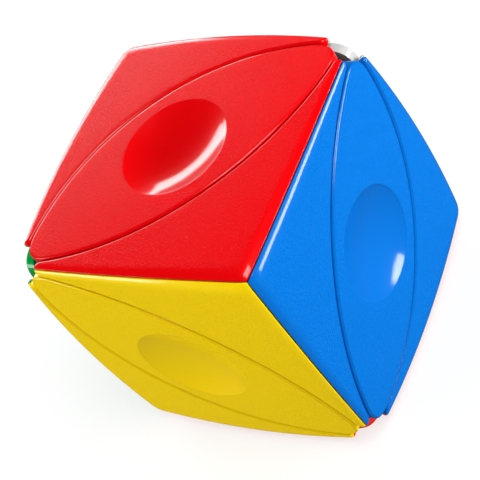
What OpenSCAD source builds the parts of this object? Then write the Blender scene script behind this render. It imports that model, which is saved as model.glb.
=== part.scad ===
// Pillowed cube puzzle that turns about four of its corners, with a leaf-shaped centre on every face.
// All lengths are millimetres. The origin is the cube's centre, +Z is the red side, -Y is the yellow side
// and +X is the blue side.

/* [Outside] */
// Straight distance between two neighbouring cube corners
edge = 52; // [50:0.5:66]
// How far the middle of a face stands above the flat cube face
dome_rise = 2.5; // [1.5:0.1:4]
// How far short of the neighbouring tip each round cut stops
tip_gap = 1.3; // [0.8:0.1:2.5]
// How far short of the neighbouring tip the arms of a colour tile stop
arm_gap = 5; // [3:0.1:8]
// How far short of the tip a leaf cap's nose stops
nose_gap = 3.7; // [3:0.1:6]
// Gap between a corner piece and a leaf
cut_gap = 0.3; // [0.2:0.05:0.6]
// Gap between two colour tiles of one corner
seam_gap = 0.1; // [0.05:0.05:0.3]
// Depth of the rounding on a cube edge at a turning corner
edge_cut_corner = 0.9; // [0.4:0.1:2]
// Depth of the rounding on a cube edge at the tip
edge_cut_tip = 0.35; // [0.2:0.05:0.8]
// How much of a turning corner's point is rounded off
point_cut = 1.6; // [1:0.1:4]

/* [Finger dishes] */
// Diameter of the dish in a leaf
dish_d = 21; // [14:0.5:22.5]
// Depth of the dish below its rim
dish_depth = 2.7; // [1.5:0.1:3.5]
// Plastic under the dish
dish_wall = 2; // [1.2:0.1:2.6]

/* [Walls] */
// Thickness of the coloured tiles and leaf caps
tile_t = 2.4; // [1.6:0.1:3]
// Outer walls of a corner frame
frame_wall = 1.8; // [1.2:0.1:2.5]
// Ribs that hold the tiles along their seams
rib_t = 2; // [1.2:0.1:3]
// Plastic between a leaf's dish and the wings that it slides over
seat_t = 1.6; // [1.2:0.1:2.5]
// Floor of the hollow in a corner frame
hollow_floor = 2; // [1:0.1:3]

/* [Sliding layers] */
// Gap between sliding layers
slide_gap = 0.4; // [0.3:0.05:0.6]
// Thickness of the wings of a corner frame
wing_t = 4.2; // [3:0.1:5.2]
// Thickness of a leaf's hidden foot
foot_t = 4.3; // [3:0.1:5.2]
// Half the width of a leaf's foot
foot_half_w = 7.2; // [6:0.1:8]
// Half the width of a leaf's neck where it meets the foot
neck_half_w = 1.5; // [1:0.1:2.2]

/* [Axles] */
// Diameter of a hub post
post_d = 7.6; // [6:0.1:9]
// Radial clearance of a corner frame on its hub post and on its screw
turn_clearance = 0.08; // [0.05:0.01:0.1]
// Diameter of a corner frame's stem
stem_d = 13; // [12:0.1:13.5]
// Length of the stem's sleeve round the hub post
sleeve_l = 3.3; // [2:0.1:4]
// Hub ball's surface below the sleeve
hub_drop = 1.5; // [1:0.1:3]
// Plastic between the hub post and the spring
floor_t = 2.6; // [2:0.1:3.5]
// Axial play of a corner frame on its screw
play = 0.05; // [0.03:0.01:0.1]

/* [Screws and springs] */
// Screw thread
screw_d = 3; // [2.5:0.1:3.6]
// Screw length below the head
screw_l = 17.5; // [15:0.5:18]
// Screw head diameter
head_d = 5.6; // [5:0.1:6]
// Screw head height
head_h = 1.8; // [1.4:0.1:2.4]
// Width of the cross recess
recess_w = 0.8; // [0.5:0.1:1]
// Length of the cross recess
recess_l = 3.2; // [2.5:0.1:4]
// Depth of the cross recess
recess_depth = 1.2; // [0.6:0.1:1.3]
// Spring length as fitted
spring_l = 7; // [5:0.1:8]
// Spring wire
wire_d = 0.6; // [0.4:0.05:0.8]
// Spring outside diameter
spring_d = 5.2; // [4.8:0.1:5.8]
// Spring turns
spring_turns = 5; // [4:0.5:6]
// Washer outside diameter
washer_d = 6; // [5.6:0.1:6.2]
// Washer thickness
washer_t = 0.5; // [0.3:0.1:0.8]
// Diameter of the well round the spring and screw head
well_d = 6.6; // [6.4:0.1:7]
// Wall round the well
well_wall = 1.6; // [1.2:0.1:2]

/* [Hidden] */
// Every piece is drawn once, at corner "a" or on the red face, and turned to its other places
HOME = [1, -1, 1];
TOP = [0, 0, 1];
// Turning corners: name, the signs that a half turn gives to each axis, and that half turn
CORNERS = [
    ["a", [1, 1, 1], [0, 0, 0]],
    ["b", [-1, 1, -1], [0, 180, 0]],
    ["c", [1, -1, -1], [180, 0, 0]],
    ["d", [-1, -1, 1], [0, 0, 180]],
];
// Faces: name, outward direction, colour, and the turns about X and about the diagonal that lead there
FACES = [
    ["red", [0, 0, 1], "#e01418", 0, 0],
    ["orange", [0, 0, -1], "#eb3210", 180, 0],
    ["blue", [1, 0, 0], "#0a80e6", 0, 120],
    ["green", [-1, 0, 0], "#009241", 180, 120],
    ["white", [0, 1, 0], "#e2e2e2", 0, 240],
    ["yellow", [0, -1, 0], "#e4c400", 180, 240],
];
// Tiles of the home corner: the turn about its axis, and the face that the tile then lies on
SPINS = [[0, [0, 0, 1]], [120, [0, -1, 0]], [240, [1, 0, 0]]];
DARK = "#2b2d31";
STEEL = "#b9bcc0";

// The face that one of a corner's tiles lies on
function tile_face(corner, spin) = [for (f = FACES) if (norm(f[1] - flipped(spin[1], corner[1])) < 0.5) f][0];
function flipped(v, signs) = [v.x * signs.x, v.y * signs.y, v.z * signs.z];

AWAY = [for (c = CORNERS) if (c[0] != "a") flipped(HOME, c[1])];
HOME_SIDES = [[0, 0, 1], [0, -1, 0], [1, 0, 0]];
HOME_PARTNERS = [[0, -1, 0], [1, 0, 0]];
TOP_CORNERS = [[1, -1, 1], [-1, 1, 1]];
LOW_CORNERS = [[-1, -1, -1], [1, 1, -1]];

// Domed faces and cuts
face_h = edge / 2 + dome_rise;
half_diagonal = edge / sqrt(2);
dome_r = (half_diagonal ^ 2 + dome_rise ^ 2) / (2 * dome_rise);
dome_drop = dome_r - face_h;
cut_r = edge - tip_gap;
point_h = edge * sqrt(3) / 2 - point_cut;

// An edge ball shaves a cube edge: its profile follows the edge's own bow, tilted to cut less at the tip
edge_bow = (sqrt(2 * dome_r ^ 2 - dome_drop ^ 2) - dome_drop) / sqrt(2) - half_diagonal;
edge_ball_r = ((edge / 2) ^ 2 + edge_bow ^ 2) / (2 * edge_bow);
edge_ball_shift = edge_ball_r * (edge_cut_tip - edge_cut_corner) / edge;
edge_ball_h = half_diagonal + edge_bow - (edge_cut_corner + edge_cut_tip) / 2 - edge_ball_r;

// Dish
rim_h = sqrt(dome_r ^ 2 - (dish_d / 2) ^ 2) - dome_drop;
bowl_r = ((dish_d / 2) ^ 2 + dish_depth ^ 2) / (2 * dish_depth);
bowl_h = rim_h - dish_depth + bowl_r;

// Sliding layers, from the outside in
seat_r = rim_h - dish_depth - dish_wall - seat_t;
wing_r = seat_r - slide_gap;
wing_in_r = wing_r - wing_t;
foot_r = wing_in_r - slide_gap;
foot_in_r = foot_r - foot_t;

// A leaf's flat flanks keep these distances from the cube's centre, square to the turning axes
neck_plane = (foot_r - neck_half_w * sqrt(2)) / sqrt(3);
foot_plane = (foot_r - foot_half_w * sqrt(2)) / sqrt(3);

// Along a turning axis
post_top = foot_in_r - slide_gap;
sleeve_in = post_top - sleeve_l;
hub_r = sleeve_in - hub_drop;
well_floor = post_top + play + floor_t;
washer_h = well_floor + play + spring_l;
head_seat = washer_h + washer_t;
fuse = 0.4;
reach = 4 * edge;
$fn = 96;

// Points the children's +Z along a direction
module toward(v) {
    rotate([0, acos(v.z / norm(v)), atan2(v.y, v.x)]) children();
}

// Everything beyond a plane square to v, at a distance from the centre
module beyond(v, distance) {
    toward(v) translate([-reach, -reach, distance]) cube(2 * reach);
}

module cut_ball(corner, gap) {
    translate(corner * edge / 2) sphere(cut_r + gap);
}

module dome(face, depth) {
    translate(-face * dome_drop) sphere(dome_r - depth, $fn = 256);
}

// Shaves the home corner's edge between the red face and a neighbour
module edge_ball(side) {
    along = HOME - TOP - side;
    translate((TOP + side) / sqrt(2) * edge_ball_h + along * edge_ball_shift) sphere(edge_ball_r, $fn = 256);
}

module bowl(wall) {
    translate([0, 0, bowl_h]) sphere(bowl_r + wall);
}

module tile(shade) {
    color(shade) difference() {
        intersection() {
            dome(TOP, 0);
            cut_ball(HOME, tip_gap - arm_gap);
            sphere(point_h);
            intersection_for (s = HOME_PARTNERS) {
                intersection() {
                    beyond(TOP - s, seam_gap / 2);
                    edge_ball(s);
                }
            }
        }
        dome(TOP, tile_t);
        for (c = AWAY) cut_ball(c, cut_gap / 2);
    }
}

// Space of one corner piece under its tiles
module corner_block() {
    difference() {
        intersection() {
            cut_ball(HOME, -cut_gap / 2);
            intersection_for (s = HOME_SIDES) dome(s, tile_t);
        }
        for (c = AWAY) cut_ball(c, cut_gap / 2);
    }
}

// One of the three hollows under a corner's tiles
module hollow() {
    difference() {
        intersection() {
            cut_ball(HOME, -cut_gap / 2 - frame_wall);
            intersection_for (s = HOME_PARTNERS) beyond(TOP - s, rib_t / 2);
        }
        for (c = AWAY) cut_ball(c, cut_gap / 2 + frame_wall);
        sphere(seat_r + hollow_floor);
    }
}

// Wings that hold the leaf feet in, as a spherical layer between the leaf necks
module wings() {
    difference() {
        intersection() {
            sphere(wing_r);
            beyond(HOME, neck_plane + slide_gap / 2);
        }
        sphere(wing_in_r);
        for (c = AWAY) beyond(c, neck_plane - slide_gap / 2);
    }
}

module frame() {
    color(DARK) difference() {
        union() {
            difference() {
                corner_block();
                for (s = SPINS) rotate(s[0], HOME) hollow();
            }
            wings();
            toward(HOME) {
                translate([0, 0, sleeve_in]) cylinder(d = stem_d, h = wing_in_r + fuse - sleeve_in);
                translate([0, 0, wing_in_r]) {
                    cylinder(d = well_d + 2 * well_wall, h = head_seat + head_h + fuse - wing_in_r);
                }
            }
        }
        toward(HOME) {
            translate([0, 0, sleeve_in - fuse]) {
                cylinder(d = post_d + 2 * turn_clearance, h = post_top + play + fuse - sleeve_in);
            }
            cylinder(d = screw_d + 2 * turn_clearance, h = edge);
            translate([0, 0, well_floor]) cylinder(d = well_d, h = edge);
        }
    }
}

module hub() {
    color(DARK) difference() {
        union() {
            sphere(hub_r);
            for (c = CORNERS) rotate(c[2]) toward(HOME) cylinder(d = post_d, h = post_top);
        }
        for (c = CORNERS) rotate(c[2]) toward(HOME) {
            translate([0, 0, head_seat - screw_l]) cylinder(d = screw_d, h = screw_l);
        }
    }
}

module screw() {
    color(STEEL) toward(HOME) difference() {
        union() {
            translate([0, 0, head_seat - screw_l]) cylinder(d = screw_d, h = screw_l);
            translate([0, 0, head_seat]) cylinder(d = head_d, h = head_h);
        }
        for (turn = [0, 90]) {
            rotate(turn) translate([-recess_l / 2, -recess_w / 2, head_seat + head_h - recess_depth]) {
                cube([recess_l, recess_w, head_h]);
            }
        }
    }
}

module washer() {
    color(STEEL) toward(HOME) translate([0, 0, washer_h]) difference() {
        cylinder(d = washer_d, h = washer_t);
        cylinder(d = screw_d + 2 * turn_clearance, h = washer_t);
    }
}

// A coil of round wire, as rings of points that follow a helix
module spring() {
    flats = 6;
    rings = round(spring_turns * 12);
    middle_r = (spring_d - wire_d) / 2;
    climb = spring_l - wire_d;
    points = [
        for (k = [0:rings]) for (j = [0:flats - 1])
            let (a = 360 * spring_turns * k / rings, b = 360 * j / flats)
            let (r = middle_r + wire_d / 2 * cos(b))
            [r * cos(a), r * sin(a), wire_d / 2 * (1 + sin(b)) + climb * k / rings]
    ];
    walls = [
        for (k = [0:rings - 1]) for (j = [0:flats - 1])
            let (n = k * flats, m = (j + 1) % flats)
            [n + j, n + flats + j, n + flats + m, n + m]
    ];
    first = [for (j = [0:flats - 1]) j];
    last = [for (j = [flats - 1:-1:0]) rings * flats + j];
    color(STEEL) toward(HOME) translate([0, 0, well_floor + play]) {
        polyhedron(points, concat([first, last], walls));
    }
}

module leaf_cap(shade) {
    color(shade) difference() {
        intersection() {
            dome(TOP, 0);
            intersection_for (c = TOP_CORNERS) cut_ball(c, -cut_gap / 2);
            cylinder(r = half_diagonal - nose_gap, h = edge);
        }
        difference() {
            dome(TOP, tile_t);
            bowl(dish_wall);
        }
        bowl(0);
        for (c = LOW_CORNERS) cut_ball(c, cut_gap / 2);
    }
}

// Leaf body that the cap sits on, from the seat down to the foot under the corner wings
module leaf_foot() {
    color(DARK) {
        difference() {
            intersection() {
                dome(TOP, tile_t);
                intersection_for (c = TOP_CORNERS) cut_ball(c, -cut_gap / 2);
            }
            difference() {
                intersection_for (c = TOP_CORNERS) cut_ball(c, -cut_gap / 2 - frame_wall);
                sphere(seat_r + hollow_floor);
                bowl(dish_wall + rib_t);
                for (c = LOW_CORNERS) cut_ball(c, cut_gap / 2 + frame_wall);
            }
            sphere(seat_r);
            bowl(dish_wall);
            for (c = LOW_CORNERS) cut_ball(c, cut_gap / 2);
        }
        difference() {
            intersection() {
                sphere(seat_r + fuse);
                intersection_for (c = TOP_CORNERS) beyond(c, neck_plane + slide_gap / 2);
            }
            sphere(foot_r - fuse);
            for (c = LOW_CORNERS) cut_ball(c, cut_gap / 2);
        }
        difference() {
            intersection() {
                sphere(foot_r);
                intersection_for (c = TOP_CORNERS) beyond(c, foot_plane + slide_gap / 2);
            }
            sphere(foot_in_r);
            for (c = LOW_CORNERS) beyond(c, foot_plane - slide_gap / 2);
        }
    }
}

hub();
for (c = CORNERS) rotate(c[2]) {
    screw();
    washer();
    spring();
    frame();
    for (s = SPINS) {
        face = tile_face(c, s);
        rotate(s[0], HOME) tile(face[2]);
    }
}
for (f = FACES) rotate(f[4], [1, 1, 1]) rotate([f[3], 0, 0]) {
    leaf_foot();
    leaf_cap(f[2]);
}
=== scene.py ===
"""A pillowed cube puzzle that turns about four of its corners.

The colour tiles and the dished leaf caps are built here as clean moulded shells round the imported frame.
Each is drawn once, at corner "a" or on the red face, and turned to its other places. Lengths are metres.
"""
import math

import bpy
from mathutils import Matrix, Vector


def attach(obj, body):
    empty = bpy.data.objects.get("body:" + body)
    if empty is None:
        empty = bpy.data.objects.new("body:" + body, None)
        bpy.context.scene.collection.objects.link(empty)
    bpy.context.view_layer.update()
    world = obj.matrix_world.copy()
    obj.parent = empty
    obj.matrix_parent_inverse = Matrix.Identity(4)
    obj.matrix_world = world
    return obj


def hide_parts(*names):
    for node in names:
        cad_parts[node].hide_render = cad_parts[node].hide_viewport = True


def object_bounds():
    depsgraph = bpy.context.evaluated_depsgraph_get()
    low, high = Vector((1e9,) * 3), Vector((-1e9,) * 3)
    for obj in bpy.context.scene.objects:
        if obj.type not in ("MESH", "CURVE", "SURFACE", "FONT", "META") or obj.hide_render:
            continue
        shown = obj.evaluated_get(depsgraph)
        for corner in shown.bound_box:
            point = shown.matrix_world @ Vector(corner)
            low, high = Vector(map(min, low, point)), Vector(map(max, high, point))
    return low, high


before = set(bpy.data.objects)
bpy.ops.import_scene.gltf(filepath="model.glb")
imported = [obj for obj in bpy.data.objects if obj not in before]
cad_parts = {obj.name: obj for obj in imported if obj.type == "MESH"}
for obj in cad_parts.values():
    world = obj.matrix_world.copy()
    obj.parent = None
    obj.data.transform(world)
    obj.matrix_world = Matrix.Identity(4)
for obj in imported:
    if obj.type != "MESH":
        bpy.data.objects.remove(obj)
cad_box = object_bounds()

MM = 0.001

# The cube and its cuts
EDGE = 52 * MM
DOME_RISE = 2.5 * MM
TIP_GAP = 1.3 * MM
ARM_GAP = 5 * MM
NOSE_GAP = 3.7 * MM
CUT_GAP = 0.3 * MM
SEAM_GAP = 0.24 * MM
SHELL = 2.0 * MM
FACE_H = EDGE / 2 + DOME_RISE
HALF_DIAGONAL = EDGE / math.sqrt(2)
DOME_R = (HALF_DIAGONAL ** 2 + DOME_RISE ** 2) / (2 * DOME_RISE)
DOME_DROP = DOME_R - FACE_H
CUT_R = EDGE - TIP_GAP

# Roundings of the mouldings
EDGE_ROUND_CORNER = 3.2 * MM
EDGE_ROUND_TIP = 1.6 * MM
EDGE_FULLNESS = 2.5
GROOVE_LIP = 0.5 * MM
SEAM_LIP = 0.1 * MM
ARM_ROUND = 0.9 * MM
NOSE_ROUND = 2.0 * MM

# Finger dish
DISH_R = 10.5 * MM
DISH_DEPTH = 2.7 * MM
DISH_RIM_ROUND = 0.6 * MM
RIM_MATT = 0.8

# How fast a rounded edge turns from matt to polished
POLISH_GAIN = 1.8

# Mesh density, and how far points crowd towards the tile's seam, its arm ends and the leaf's noses
TILE_COLUMNS = 128
TILE_ROWS = 24
SEAM_CROWDING = 1.6
END_CROWDING = 0.55
LEAF_SPOKES = 192
LEAF_RINGS = 16
LEAF_SLIMNESS = 0.42
BOWL_RINGS = 14
RIM_STEPS = 5
LIP_STEPS = 4
FAN_STEPS = 4
SHARP_ANGLE = math.radians(50)

# Steps of the searches for a place on the skin
HEIGHT_STEPS = 16
CUT_STEPS = 6
ARM_HALVINGS = 22
LEAF_HALVINGS = 26
ARM_END_SWEEP = math.radians(12)

# Directions
HOME = Vector((1, -1, 1))
TOP = Vector((0, 0, 1))
FRONT = Vector((0, -1, 0))
RIGHT = Vector((1, 0, 0))
DIAGONAL = Vector((1, 1, 1))
HOME_POINT = HOME * EDGE / 2
FAR_POINT = Vector((-1, 1, 1)) * EDGE / 2
EIGHTH = math.pi / 4

CORNERS = {
    "a": Matrix.Identity(3),
    "b": Matrix.Rotation(math.pi, 3, "Y"),
    "c": Matrix.Rotation(math.pi, 3, "X"),
    "d": Matrix.Rotation(math.pi, 3, "Z"),
}
THIRD = math.tau / 3
FLIP = Matrix.Rotation(math.pi, 3, "X")
FACES = {
    "red": Matrix.Identity(3),
    "orange": FLIP,
    "blue": Matrix.Rotation(THIRD, 3, DIAGONAL),
    "green": Matrix.Rotation(THIRD, 3, DIAGONAL) @ FLIP,
    "white": Matrix.Rotation(2 * THIRD, 3, DIAGONAL),
    "yellow": Matrix.Rotation(2 * THIRD, 3, DIAGONAL) @ FLIP,
}


# ---- Shapes of the cube's skin ----

def dome_depth(point, face):
    """How far a point lies inside a face's dome."""
    return DOME_R - (point + face * DOME_DROP).length


def edge_round(point):
    """The cube edges are rounded most at a turning corner and least at the tips."""
    away = min((point - HOME_POINT).length / EDGE, 1)
    ease = away * away * (3 - 2 * away)
    return EDGE_ROUND_CORNER + (EDGE_ROUND_TIP - EDGE_ROUND_CORNER) * ease


def skin_depth(point):
    """How far a point near the home corner lies inside the rounded cube."""
    radius = edge_round(point)
    short = [max(radius - dome_depth(point, face), 0) for face in (TOP, FRONT, RIGHT)]
    return radius - sum(s ** EDGE_FULLNESS for s in short) ** (1 / EDGE_FULLNESS)


def skin_normal(point):
    """Straight out of the rounded cube at a point of its skin."""
    radius = edge_round(point)
    normal = Vector()
    for face in (TOP, FRONT, RIGHT):
        short = max(radius - dome_depth(point, face), 0) / radius
        normal += short ** (EDGE_FULLNESS - 1) * (point + face * DOME_DROP).normalized()
    return normal.normalized()


def on_skin(across, along):
    """The point of the skin in direction (across, along, 1) from the cube's centre."""
    ray = Vector((across, along, 1))
    height = EDGE / 2
    for _ in range(HEIGHT_STEPS):
        height += skin_depth(ray * height) / ray.length
    return ray * height


def on_dome(across, along):
    """The point of the red dome above a spot of the face plane."""
    return Vector((across, along, math.sqrt(DOME_R ** 2 - across ** 2 - along ** 2) - DOME_DROP))


# ---- Mesh building ----

class Shell:
    """Collects the points and faces of one closed moulding, and how polished each point is."""

    def __init__(self):
        self.points = []
        self.polish = []
        self.faces = []

    def add(self, point, polish):
        self.points.append(point)
        self.polish.append(polish)
        return len(self.points) - 1

    def strip(self, ring, next_ring):
        """Joins two closed rings point by point, leaving out sides that have shrunk to nothing."""
        count = len(ring)
        for i in range(count):
            j = (i + 1) % count
            corners = [ring[i], ring[j], next_ring[j], next_ring[i]]
            face = [c for k, c in enumerate(corners) if c != corners[k - 1]]
            if len(face) > 2:
                self.faces.append(face)

    def close(self, rim):
        """Rolls the rim over, drops the walls and returns the ring of points at their foot.

        The rim is a list of (point index, sideways reach, skin normal, downward direction).
        """
        ring = [index for index, *_ in rim]
        for step in range(1, LIP_STEPS + 1):
            angle = math.pi / 2 * step / LIP_STEPS
            rolled = []
            for index, reach, normal, _ in rim:
                drop = reach.length * (1 - math.cos(angle))
                rolled.append(self.add(self.points[index] + reach * math.sin(angle) - normal * drop, 1.0))
            self.strip(ring, rolled)
            ring = rolled
        foot = []
        for start, (_, reach, _, down) in zip(ring, rim):
            foot.append(self.add(self.points[start] + down * (SHELL - reach.length), 1.0))
        self.strip(ring, foot)
        return foot

    def line(self, faces, downs, foot, rim):
        """Closes the moulding with an inner skin below the given faces, SHELL under each point."""
        lower = {index: self.add(self.points[index] + down * SHELL, 1.0) for index, down in downs.items()}
        for face in faces:
            self.faces.append([lower[index] for index in face[:1] + face[:0:-1]])
        self.strip(foot, [lower[index] for index, *_ in rim])

    def piece(self, name, turn, material):
        mesh = bpy.data.meshes.new(name)
        mesh.from_pydata([turn @ p for p in self.points], [], self.faces)
        polish = mesh.attributes.new("polish", "FLOAT", "POINT")
        polish.data.foreach_set("value", self.polish)
        mesh.materials.append(material)
        mesh.shade_smooth()
        mesh.set_sharp_from_angle(angle=SHARP_ANGLE)
        piece = bpy.data.objects.new(name, mesh)
        bpy.context.scene.collection.objects.link(piece)
        return piece


def blend(a, b, share):
    return a + (b - a) * share


# ---- Corner tile ----

def cut_edge(heading, test, start):
    """Follows a ray over the face from the far corner until test(point), in metres, comes to nought."""
    reach = start
    for _ in range(CUT_STEPS):
        point = on_skin(-1 + reach * math.cos(heading), 1 - reach * math.sin(heading))
        reach += test(point) / (EDGE / 2)
    return reach


def tile_point(heading, share):
    """A point of the tile: heading turns about the far corner, share goes from the groove to the seam."""
    side = RIGHT if heading < EIGHTH else FRONT
    square = 2 / max(math.cos(heading), math.sin(heading))
    groove = cut_edge(
        heading,
        lambda p: CUT_R + CUT_GAP / 2 + GROOVE_LIP - (p - FAR_POINT).length,
        2 * CUT_R / EDGE,
    )
    seam = cut_edge(
        heading,
        lambda p: p.dot(TOP - side) / math.sqrt(2) - SEAM_GAP / 2 - SEAM_LIP,
        square,
    )
    reach = blend(groove, seam, share)
    return on_skin(-1 + reach * math.cos(heading), 1 - reach * math.sin(heading))


def arm_shortfalls(point):
    """How far a point lies inside the round end of an arm and inside the groove wall, less the lips."""
    end = EDGE - ARM_GAP - GROOVE_LIP - (point - HOME_POINT).length
    groove = (point - FAR_POINT).length - (CUT_R + CUT_GAP / 2 + GROOVE_LIP)
    return max(ARM_ROUND - end, 0), max(ARM_ROUND - groove, 0)


def arm_end(share):
    """The heading at which the arm stops, for one share of the way from groove to seam."""
    low, high = 0.0, ARM_END_SWEEP
    for _ in range(ARM_HALVINGS):
        middle = (low + high) / 2
        if math.hypot(*arm_shortfalls(tile_point(middle, share))) > ARM_ROUND:
            low = middle
        else:
            high = middle
    return high


def tile_skin():
    """The rows of the tile's outer skin from groove to seam, and the way down at each point."""
    shares = [1 - (1 - row / TILE_ROWS) ** SEAM_CROWDING for row in range(TILE_ROWS + 1)]
    even = [-1 + 2 * column / TILE_COLUMNS for column in range(TILE_COLUMNS + 1)]
    spread = [blend(s, math.sin(s * math.pi / 2), END_CROWDING) for s in even]
    skin = []
    for share in shares:
        half = EIGHTH - arm_end(share)
        skin.append([tile_point(EIGHTH + half * s, share) for s in spread])
    seam_normals = [skin_normal(point) for point in skin[-1]]
    downs = [[-blend(TOP, normal, share ** 2).normalized() for normal in seam_normals] for share in shares]
    return skin, downs


def tile_polish(point):
    """The flats are matt, and the edges rounded over to the two neighbouring faces are polished."""
    depth = min(dome_depth(point, FRONT), dome_depth(point, RIGHT))
    return min(POLISH_GAIN * (1 - min(depth / edge_round(point), 1)), 1)


def arm_reach(point):
    """Which way the lip of an arm's round end rolls over, and how far."""
    end, groove = arm_shortfalls(point)
    outward = end * (point - HOME_POINT).normalized() + groove * (FAR_POINT - point).normalized()
    return outward.normalized() * GROOVE_LIP


def moulded_tile():
    shell = Shell()
    skin, downs = tile_skin()
    grid = [[shell.add(point, tile_polish(point)) for point in row] for row in skin]
    last_row, last_column = TILE_ROWS, TILE_COLUMNS
    middle = last_column // 2
    for r in range(last_row):
        for c in range(last_column):
            shell.faces.append([grid[r][c], grid[r][c + 1], grid[r + 1][c + 1], grid[r + 1][c]])
    skin_faces = list(shell.faces)
    front_reach = (FRONT - TOP).normalized() * SEAM_LIP
    right_reach = (RIGHT - TOP).normalized() * SEAM_LIP

    def entry(r, c, reach):
        return (grid[r][c], reach, skin_normal(skin[r][c]), downs[r][c])

    def fan(r, c, first, second):
        """Turns the lip round a sharp corner of the tile, from one reach to another."""
        turned = []
        for k in range(1, FAN_STEPS):
            share = k / FAN_STEPS
            way = blend(first.normalized(), second.normalized(), share).normalized()
            turned.append(entry(r, c, way * blend(first.length, second.length, share)))
        return turned

    rim = [entry(0, 0, arm_reach(skin[0][0]))]
    for c in range(1, last_column):
        rim.append(entry(0, c, (FAR_POINT - skin[0][c]).normalized() * GROOVE_LIP))
    for r in range(last_row + 1):
        rim.append(entry(r, last_column, arm_reach(skin[r][last_column])))
    rim += fan(last_row, last_column, arm_reach(skin[last_row][last_column]), front_reach)
    for c in range(last_column, middle - 1, -1):
        rim.append(entry(last_row, c, front_reach))
    rim += fan(last_row, middle, front_reach, right_reach)
    for c in range(middle, -1, -1):
        rim.append(entry(last_row, c, right_reach))
    rim += fan(last_row, 0, right_reach, arm_reach(skin[last_row][0]))
    for r in range(last_row, 0, -1):
        rim.append(entry(r, 0, arm_reach(skin[r][0])))
    rim.reverse()
    foot = shell.close(rim)
    ways_down = {grid[r][c]: downs[r][c] for r in range(last_row + 1) for c in range(last_column + 1)}
    shell.line(skin_faces, ways_down, foot, rim)
    return shell


# ---- Leaf cap ----

def leaf_shortfalls(point):
    """How far a point crosses into the rounding of the leaf's two sides and its nose."""
    side = CUT_R - CUT_GAP / 2 - GROOVE_LIP
    nose = HALF_DIAGONAL - NOSE_GAP - GROOVE_LIP
    reaches = (
        side - (point - HOME_POINT).length,
        side - (point - FAR_POINT).length,
        nose - math.hypot(point.x, point.y),
    )
    return [max(NOSE_ROUND - reach, 0) for reach in reaches]


def leaf_edge(heading):
    """How far the leaf's flat reaches from its middle on a heading."""
    low, high = DISH_R, HALF_DIAGONAL
    for _ in range(LEAF_HALVINGS):
        middle = (low + high) / 2
        point = on_dome(middle * math.cos(heading), middle * math.sin(heading))
        if math.hypot(*leaf_shortfalls(point)) < NOSE_ROUND:
            low = middle
        else:
            high = middle
    return low


def dish_profile():
    """(radius, height, polish) from the middle of the dish to just outside its rolled rim."""
    bowl_r = (DISH_R ** 2 + DISH_DEPTH ** 2) / (2 * DISH_DEPTH)
    rim_h = math.sqrt(DOME_R ** 2 - DISH_R ** 2) - DOME_DROP
    bowl_h = rim_h - DISH_DEPTH + bowl_r
    inner_slope = math.asin(DISH_R / bowl_r)
    outer_slope = -math.asin(DISH_R / DOME_R)
    half = DISH_RIM_ROUND * math.tan((inner_slope - outer_slope) / 2)
    start = DISH_R - half * math.cos(inner_slope)
    profile = []
    for k in range(1, BOWL_RINGS + 1):
        radius = start * k / BOWL_RINGS
        profile.append((radius, bowl_h - math.sqrt(bowl_r ** 2 - radius ** 2), 1.0))
    middle_r = start + DISH_RIM_ROUND * math.sin(inner_slope)
    middle_h = profile[-1][1] - DISH_RIM_ROUND * math.cos(inner_slope)
    for k in range(1, RIM_STEPS + 1):
        slope = blend(inner_slope, outer_slope, k / RIM_STEPS)
        profile.append((
            middle_r - DISH_RIM_ROUND * math.sin(slope),
            middle_h + DISH_RIM_ROUND * math.cos(slope),
            1 - RIM_MATT * k / RIM_STEPS,
        ))
    return profile


def moulded_leaf():
    shell = Shell()
    profile = dish_profile()
    headings = []
    for k in range(LEAF_SPOKES):
        turn = math.tau * k / LEAF_SPOKES
        headings.append(EIGHTH + math.atan2(LEAF_SLIMNESS * math.sin(turn), math.cos(turn)))
    middle = shell.add(Vector((0, 0, profile[0][1])), 1.0)
    rings = []
    for radius, height, polish in profile:
        circle = [Vector((radius * math.cos(h), radius * math.sin(h), height)) for h in headings]
        rings.append([shell.add(point, polish) for point in circle])
    rim_r = profile[-1][0]
    edges = [leaf_edge(h) for h in headings]
    for k in range(1, LEAF_RINGS + 1):
        share = k / LEAF_RINGS
        ring = []
        for heading, edge in zip(headings, edges):
            radius = blend(rim_r, edge, share)
            ring.append(shell.add(on_dome(radius * math.cos(heading), radius * math.sin(heading)), 0.0))
        rings.append(ring)
    for i in range(LEAF_SPOKES):
        shell.faces.append([middle, rings[0][i], rings[0][(i + 1) % LEAF_SPOKES]])
    for ring, next_ring in zip(rings, rings[1:]):
        shell.strip(next_ring, ring)
    skin_faces = list(shell.faces)
    ways_down = {index: -TOP for index in range(len(shell.points))}
    rim = []
    for index in rings[-1]:
        point = shell.points[index]
        home, far, nose = leaf_shortfalls(point)
        outward = (
            home * (point - HOME_POINT).normalized()
            + far * (point - FAR_POINT).normalized()
            + nose * Vector((point.x, point.y, 0)).normalized()
        )
        normal = (point + TOP * DOME_DROP).normalized()
        rim.append((index, outward.normalized() * GROOVE_LIP, normal, -TOP))
    rim.reverse()
    foot = shell.close(rim)
    shell.line(skin_faces, ways_down, foot, rim)
    return shell


# ---- Finishes ----

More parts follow.
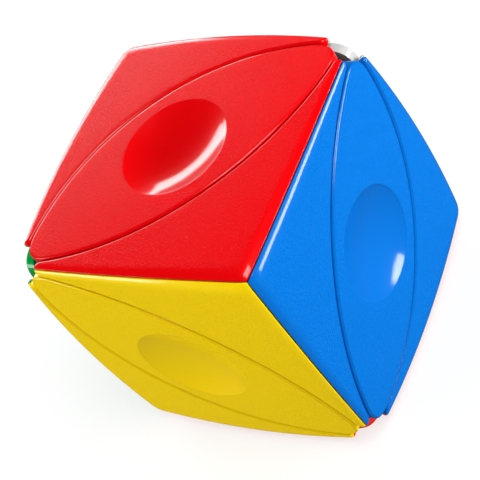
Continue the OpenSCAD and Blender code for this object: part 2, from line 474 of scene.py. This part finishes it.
class Shade:
    """A value that varies over a surface; arithmetic on it adds Math nodes."""

    def __init__(self, tree, socket):
        self.tree = tree
        self.socket = socket

    @staticmethod
    def node(tree, kind, settings=None, sockets=None):
        node = tree.nodes.new(kind)
        for name, value in (settings or {}).items():
            setattr(node, name, value)
        for name, value in (sockets or {}).items():
            if isinstance(value, Shade):
                tree.links.new(value.socket, node.inputs[name])
            else:
                node.inputs[name].default_value = value
        return node

    def math(self, operation, first, second):
        node = Shade.node(self.tree, "ShaderNodeMath", {"operation": operation}, {0: first, 1: second})
        return Shade(self.tree, node.outputs[0])

    def __add__(self, other):
        return self.math("ADD", self, other)

    def __radd__(self, other):
        return self.math("ADD", other, self)

    def __sub__(self, other):
        return self.math("SUBTRACT", self, other)

    def __rsub__(self, other):
        return self.math("SUBTRACT", other, self)

    def __mul__(self, other):
        return self.math("MULTIPLY", self, other)

    def __rmul__(self, other):
        return self.math("MULTIPLY", other, self)


SPECKLE_SIZE = 0.36 * MM
SPECKLE_HEIGHT = 0.3 * MM
CLOUD_SIZE = 9 * MM


def new_finish(name):
    """A node material with its shader, and the piece's own coordinates."""
    material = bpy.data.materials.new(name)
    material.use_nodes = True
    tree = material.node_tree
    shader = tree.nodes["Principled BSDF"]
    place = Shade(tree, Shade.node(tree, "ShaderNodeTexCoord").outputs["Object"])
    return material, tree, shader, place


def noise(tree, place, size, detail=2.0):
    """Soft random blotches about the given size across."""
    node = Shade.node(
        tree, "ShaderNodeTexNoise", {"noise_dimensions": "3D"},
        {"Vector": place, "Scale": 1 / size, "Detail": detail, "Roughness": 0.6},
    )
    return Shade(tree, node.outputs["Fac"])


def mixed(tree, share, first, second):
    node = Shade.node(tree, "ShaderNodeMix", {"data_type": "RGBA"}, {0: share, 6: first, 7: second})
    return Shade(tree, node.outputs[2])


def bumped(tree, height, distance, strength):
    node = Shade.node(
        tree, "ShaderNodeBump", None, {"Height": height, "Distance": distance, "Strength": strength}
    )
    return Shade(tree, node.outputs["Normal"])


def feed(tree, shader, name, value):
    """Sets one socket of the shader, by a link where the value varies."""
    if isinstance(value, Shade):
        tree.links.new(value.socket, shader.inputs[name])
    else:
        shader.inputs[name].default_value = value


def linear(colour):
    """A display colour of 0 to 255 as the shader's linear one."""
    shares = [c / 255 for c in colour]
    return tuple(s / 12.92 if s <= 0.04045 else ((s + 0.055) / 1.055) ** 2.4 for s in shares) + (1,)


def coloured_plastic(name, colour, pale):
    """Moulded ABS: spark-eroded speckle on the flats, polished on roundings, lips and dishes."""
    material, tree, shader, place = new_finish(name)
    attribute = Shade.node(tree, "ShaderNodeAttribute", {"attribute_name": "polish"})
    polish = Shade(tree, attribute.outputs["Fac"])
    matt = 1 - polish
    speckle = noise(tree, place, SPECKLE_SIZE, 3.0)
    cloud = noise(tree, place, CLOUD_SIZE)
    tone = matt * speckle * 0.5 + cloud * 0.06
    feed(tree, shader, "Base Color", mixed(tree, tone, linear(colour), linear(pale)))
    feed(tree, shader, "Roughness", 0.3 + 0.08 * matt + 0.1 * matt * speckle + 0.04 * cloud)
    feed(tree, shader, "Normal", bumped(tree, matt * speckle, SPECKLE_HEIGHT, 1.0))
    feed(tree, shader, "Coat Weight", polish * 0.5)
    feed(tree, shader, "Coat Roughness", 0.12)
    feed(tree, shader, "Specular IOR Level", 0.02)
    return material


def dark_plastic():
    """The carriers, leaf bodies and hub: plain dark mouldings with a fine grain."""
    material, tree, shader, place = new_finish("dark_moulded_plastic")
    grain = noise(tree, place, 0.5 * MM, 3.0)
    cloud = noise(tree, place, 6 * MM)
    tone = grain * 0.4 + cloud * 0.3
    feed(tree, shader, "Base Color", mixed(tree, tone, linear((30, 31, 34)), linear((62, 63, 67))))
    feed(tree, shader, "Roughness", 0.42 + 0.2 * grain)
    feed(tree, shader, "Normal", bumped(tree, grain, 0.04 * MM, 0.5))
    return material


def plated_steel():
    """Screws, washers and springs."""
    material, tree, shader, place = new_finish("plated_steel")
    grain = noise(tree, place, 0.3 * MM)
    feed(tree, shader, "Base Color", mixed(tree, grain, linear((150, 152, 156)), linear((205, 206, 208))))
    feed(tree, shader, "Metallic", 1.0)
    feed(tree, shader, "Roughness", 0.25 + 0.2 * grain)
    return material


PLASTICS = {
    "red": coloured_plastic("red_plastic", (208, 0, 4), (244, 8, 18)),
    "orange": coloured_plastic("orange_plastic", (226, 36, 10), (250, 84, 48)),
    "blue": coloured_plastic("blue_plastic", (0, 90, 170), (0, 108, 194)),
    "green": coloured_plastic("green_plastic", (0, 138, 58), (10, 166, 80)),
    "white": coloured_plastic("white_plastic", (166, 166, 164), (186, 186, 184)),
    "yellow": coloured_plastic("yellow_plastic", (230, 196, 0), (240, 204, 0)),
}


# ---- The puzzle ----

def dress_frame():
    """Gives the working parts inside their finishes."""
    dark, steel = dark_plastic(), plated_steel()
    for name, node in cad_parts.items():
        finish = steel if name.startswith(("screw", "washer", "spring")) else dark
        for slot in node.material_slots:
            slot.material = finish


def fit_shells():
    """Turns the tile to its twelve places and the leaf cap to its six, each in its face's colour."""
    tile, leaf = moulded_tile(), moulded_leaf()
    spins = [Matrix.Rotation(THIRD * k, 3, HOME) for k in range(3)]
    outward = {name: turn @ TOP for name, turn in FACES.items()}
    for corner, half_turn in CORNERS.items():
        for spin in spins:
            turn = half_turn @ spin
            face = max(outward, key=lambda name: outward[name].dot(turn @ TOP))
            node = f"tile_{corner}_{face}"
            piece = tile.piece(f"{face}_tile_{corner}", turn, PLASTICS[face])
            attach(piece, f"corner_{corner}")
            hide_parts(node)
    for face, turn in FACES.items():
        piece = leaf.piece(f"{face}_leaf", turn, PLASTICS[face])
        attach(piece, f"leaf_{face}")
        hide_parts(f"leaf_cap_{face}")


# ---- Studio ----

FLOOR_HALF = 4.0
FLOOR_GREY = 0.22
FLOOR_GLOW = 0.73


def studio_floor():
    """A plain pale sheet that the puzzle stands on, lit from within so that shadows stay soft."""
    low = cad_box[0].z
    mesh = bpy.data.meshes.new("floor")
    corners = [(x * FLOOR_HALF, y * FLOOR_HALF, low) for x, y in ((-1, -1), (1, -1), (1, 1), (-1, 1))]
    mesh.from_pydata(corners, [], [(0, 1, 2, 3)])
    floor = bpy.data.objects.new("floor", mesh)
    material, tree, shader, _ = new_finish("pale_floor")
    feed(tree, shader, "Base Color", (FLOOR_GREY, FLOOR_GREY, FLOOR_GREY, 1))
    feed(tree, shader, "Roughness", 0.7)
    feed(tree, shader, "Specular IOR Level", 0.1)
    feed(tree, shader, "Emission Color", (1, 1, 1, 1))
    feed(tree, shader, "Emission Strength", FLOOR_GLOW)
    mesh.materials.append(material)
    floor.visible_glossy = False
    bpy.context.scene.collection.objects.link(floor)


def softbox(name, direction, distance, width, height, power):
    """A lamp (metres and watts) that shines on the puzzle from a direction and isn't seen itself."""
    light = bpy.data.lights.new(name, "AREA")
    light.shape = "RECTANGLE"
    light.size = width
    light.size_y = height
    light.energy = power
    lamp = bpy.data.objects.new(name, light)
    away = Vector(direction).normalized()
    lamp.location = away * distance
    lamp.rotation_euler = away.to_track_quat("Z", "Y").to_euler()
    lamp.visible_camera = False
    bpy.context.scene.collection.objects.link(lamp)


def studio_light():
    world = bpy.data.worlds.new("studio")
    bpy.context.scene.world = world
    world.use_nodes = True
    room = world.node_tree.nodes["Background"]
    room.inputs["Color"].default_value = (1, 1, 1, 1)
    room.inputs["Strength"].default_value = 0.06
    softbox("right_key", (0.88, 0.44, 0.05), 0.6, 0.34, 0.19, 5.8)
    softbox("right_edge_strip", (0.68, 0.44, 0.59), 0.6, 0.3, 0.03, 0.14)
    softbox("top_softbox", (0.4, -0.12, 0.91), 0.8, 0.38, 0.38, 6.4)
    softbox("back_left_strip", (-0.81, 0.55, 0.14), 0.6, 0.4, 0.27, 4.4)
    softbox("front_left_fill", (-0.72, -0.68, 0.14), 0.8, 0.4, 0.25, 3.8)


def studio_camera():
    """Looks from above the corner between the red, yellow and blue faces, rolled to the left."""
    camera = bpy.data.objects.new("camera", bpy.data.cameras.new("camera"))
    back = Vector((0.5845, -0.4371, 0.6836)).normalized()
    right = Vector((0.8103, 0.3581, -0.4638))
    right = (right - back * right.dot(back)).normalized()
    up = back.cross(right)
    turn = Matrix((right, up, back)).transposed().to_4x4()
    turn.translation = Vector((0.19673, -0.14904, 0.23175))
    camera.matrix_world = turn
    camera.data.sensor_width = 36
    camera.data.lens = 135.2
    camera.data.clip_start = 0.01
    bpy.context.scene.collection.objects.link(camera)
    bpy.context.scene.camera = camera


dress_frame()
fit_shells()
studio_floor()
studio_light()
studio_camera()
bpy.context.scene.view_settings.view_transform = "Standard"
